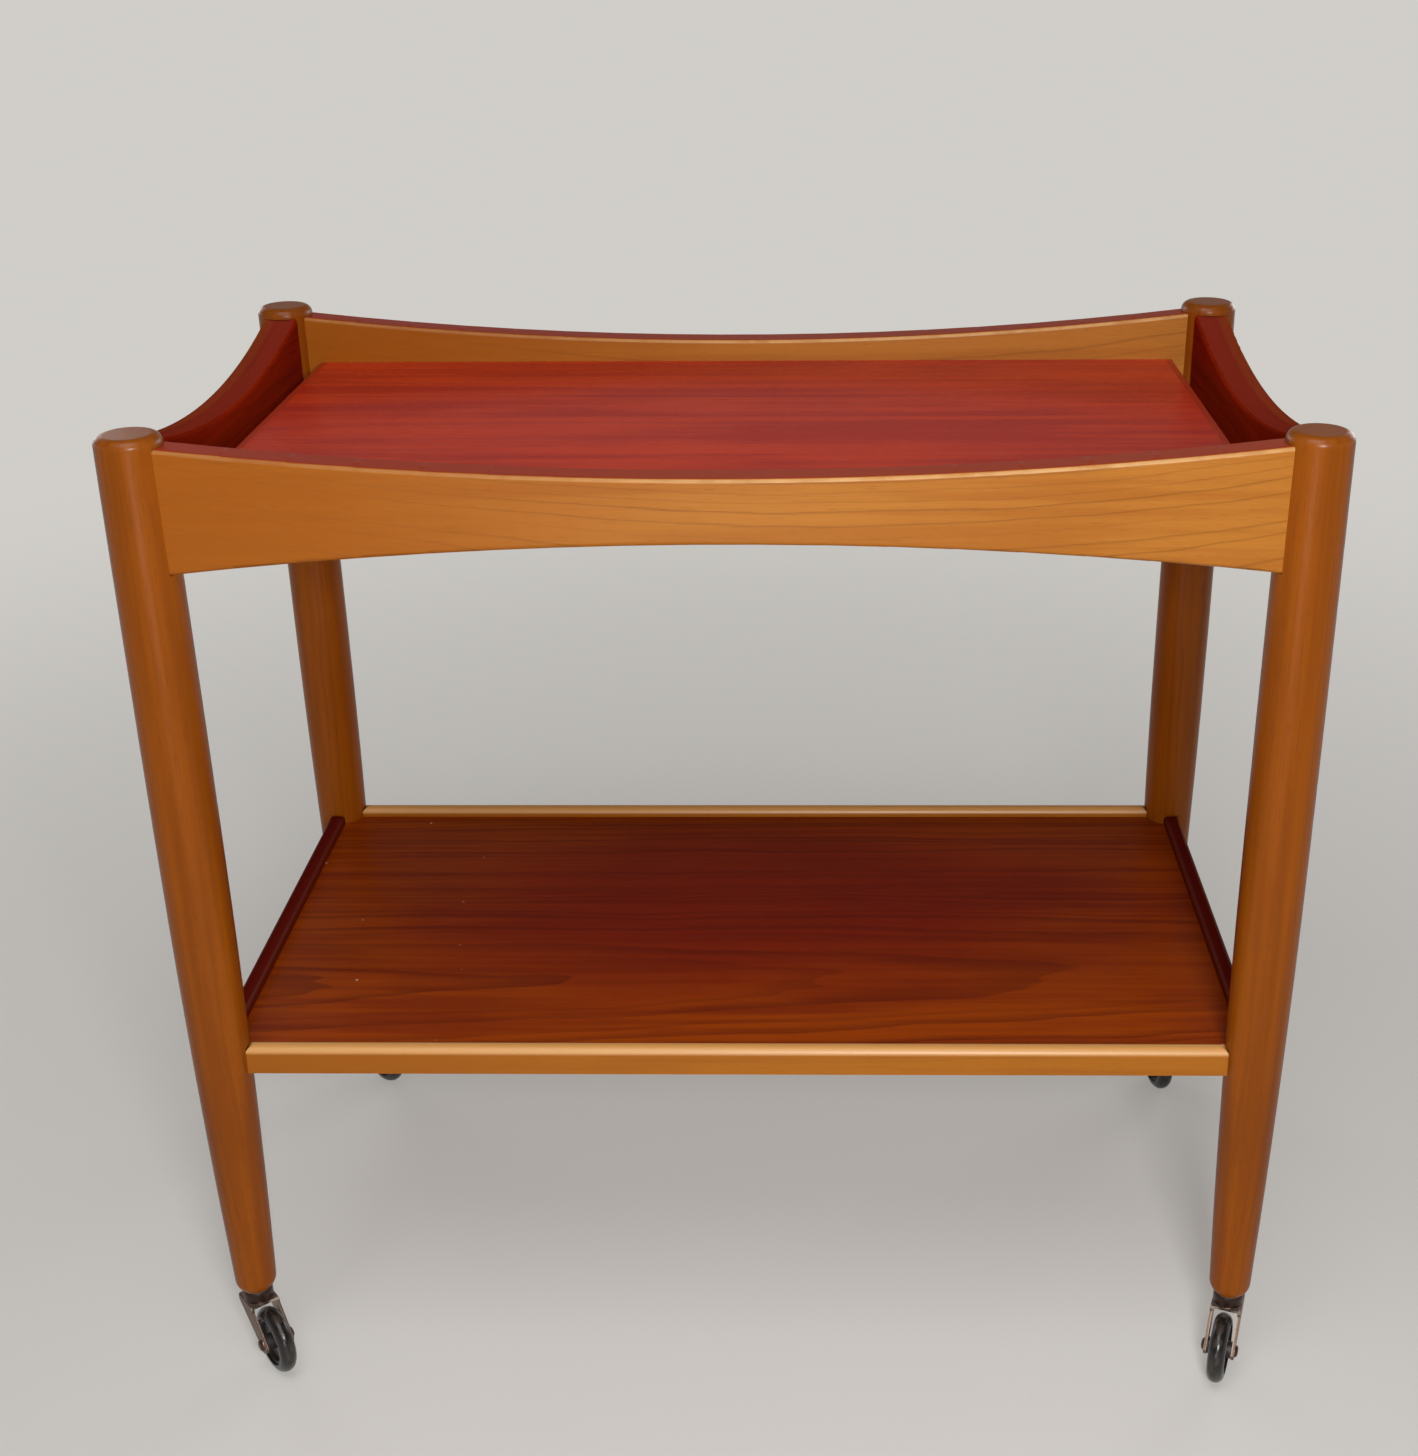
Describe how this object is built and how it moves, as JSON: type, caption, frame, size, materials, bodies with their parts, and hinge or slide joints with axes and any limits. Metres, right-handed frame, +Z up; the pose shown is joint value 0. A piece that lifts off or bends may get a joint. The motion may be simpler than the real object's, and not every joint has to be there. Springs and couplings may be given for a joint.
{
  "type": "tea trolley",
  "caption": "Two-tier wooden tea trolley with turned legs, bow-shaped tray rails with finger gaps, a lower shelf and swivel casters.",
  "frame": {"origin": "on the floor, in the middle of the box that the trolley takes up with its casters turned as at rest", "axes": "+X along the trolley to its right end, +Y from the front to the back, +Z up"},
  "size_m": [0.7416, 0.4266, 0.6906],
  "materials": {
    "leg_wood": "satin lacquered turned hardwood, honey orange",
    "rail_wood": "satin lacquered hardwood, honey orange with fine straight grain",
    "tray_veneer": "satin lacquered veneer, reddish brown, grain along the tray",
    "shelf_veneer": "satin lacquered veneer, dark red brown with flame grain",
    "lipping_wood": "satin lacquered solid edge strip",
    "cleat_wood": "plain planed hardwood batten",
    "dowel_wood": "fluted beech peg",
    "screw_brass": "dull brass wood screw",
    "socket_steel": "plain steel tube",
    "collar_bronze": "dark brown bronzed steel",
    "fork_steel": "brown bronzed pressed steel, bright at worn edges",
    "axle_steel": "tarnished steel rivet",
    "wheel_plastic": "dark moulded wheel centre",
    "tyre_rubber": "black rubber, polished by use"
  },
  "bodies": {
    "frame": {"leg_front_left": "leg_wood", "leg_front_right": "leg_wood", "leg_rear_left": "leg_wood", "leg_rear_right": "leg_wood", "top_rail_front": "rail_wood", "shelf_rail_front": "rail_wood", "top_rail_rear": "rail_wood", "shelf_rail_rear": "rail_wood", "top_rail_left": "rail_wood", "shelf_rail_left": "rail_wood", "top_rail_right": "rail_wood", "shelf_rail_right": "rail_wood", "top_panel": "tray_veneer", "shelf_panel": "shelf_veneer", "top_panel_lipping_left": "lipping_wood", "top_panel_lipping_right": "lipping_wood", "cleat_front": "cleat_wood", "cleat_screws_front": "screw_brass", "panel_screws_front": "screw_brass", "cleat_rear": "cleat_wood", "cleat_screws_rear": "screw_brass", "panel_screws_rear": "screw_brass", "top_rail_dowels": "dowel_wood", "shelf_rail_dowels": "dowel_wood", "caster_socket_front_left": "socket_steel", "caster_socket_front_right": "socket_steel", "caster_socket_rear_left": "socket_steel", "caster_socket_rear_right": "socket_steel"},
    "swivel_front_left": {"caster_stem_front_left": "collar_bronze", "caster_fork_front_left": "fork_steel", "caster_axle_front_left": "axle_steel"},
    "wheel_front_left": {"caster_wheel_front_left": "wheel_plastic", "caster_tyre_front_left": "tyre_rubber"},
    "swivel_front_right": {"caster_stem_front_right": "collar_bronze", "caster_fork_front_right": "fork_steel", "caster_axle_front_right": "axle_steel"},
    "wheel_front_right": {"caster_wheel_front_right": "wheel_plastic", "caster_tyre_front_right": "tyre_rubber"},
    "swivel_rear_left": {"caster_stem_rear_left": "collar_bronze", "caster_fork_rear_left": "fork_steel", "caster_axle_rear_left": "axle_steel"},
    "wheel_rear_left": {"caster_wheel_rear_left": "wheel_plastic", "caster_tyre_rear_left": "tyre_rubber"},
    "swivel_rear_right": {"caster_stem_rear_right": "collar_bronze", "caster_fork_rear_right": "fork_steel", "caster_axle_rear_right": "axle_steel"},
    "wheel_rear_right": {"caster_wheel_rear_right": "wheel_plastic", "caster_tyre_rear_right": "tyre_rubber"}
  },
  "joints": [
    {"name": "front_left_swivel", "type": "hinge", "parent": "frame", "child": "swivel_front_left", "pos_m": [-0.35, -0.16927, 0.0606], "axis": [0, 0, 1], "continuous": true},
    {"name": "front_left_roll", "type": "hinge", "parent": "swivel_front_left", "child": "wheel_front_left", "pos_m": [-0.33586, -0.18613, 0.0245], "axis": [0.766, 0.6428, 0], "continuous": true},
    {"name": "front_right_swivel", "type": "hinge", "parent": "frame", "child": "swivel_front_right", "pos_m": [0.35, -0.16927, 0.0606], "axis": [0, 0, 1], "continuous": true},
    {"name": "front_right_roll", "type": "hinge", "parent": "swivel_front_right", "child": "wheel_front_right", "pos_m": [0.34248, -0.18995, 0.0245], "axis": [0.9397, -0.342, 0], "continuous": true},
    {"name": "rear_left_swivel", "type": "hinge", "parent": "frame", "child": "swivel_rear_left", "pos_m": [-0.35, 0.19253, 0.0606], "axis": [0, 0, 1], "continuous": true},
    {"name": "rear_left_roll", "type": "hinge", "parent": "swivel_rear_left", "child": "wheel_rear_left", "pos_m": [-0.33391, 0.17752, 0.0245], "axis": [0.682, 0.7314, 0], "continuous": true},
    {"name": "rear_right_swivel", "type": "hinge", "parent": "frame", "child": "swivel_rear_right", "pos_m": [0.35, 0.19253, 0.0606], "axis": [0, 0, 1], "continuous": true},
    {"name": "rear_right_roll", "type": "hinge", "parent": "swivel_rear_right", "child": "wheel_rear_right", "pos_m": [0.35495, 0.17109, 0.0245], "axis": [0.9744, 0.225, 0], "continuous": true}
  ]
}
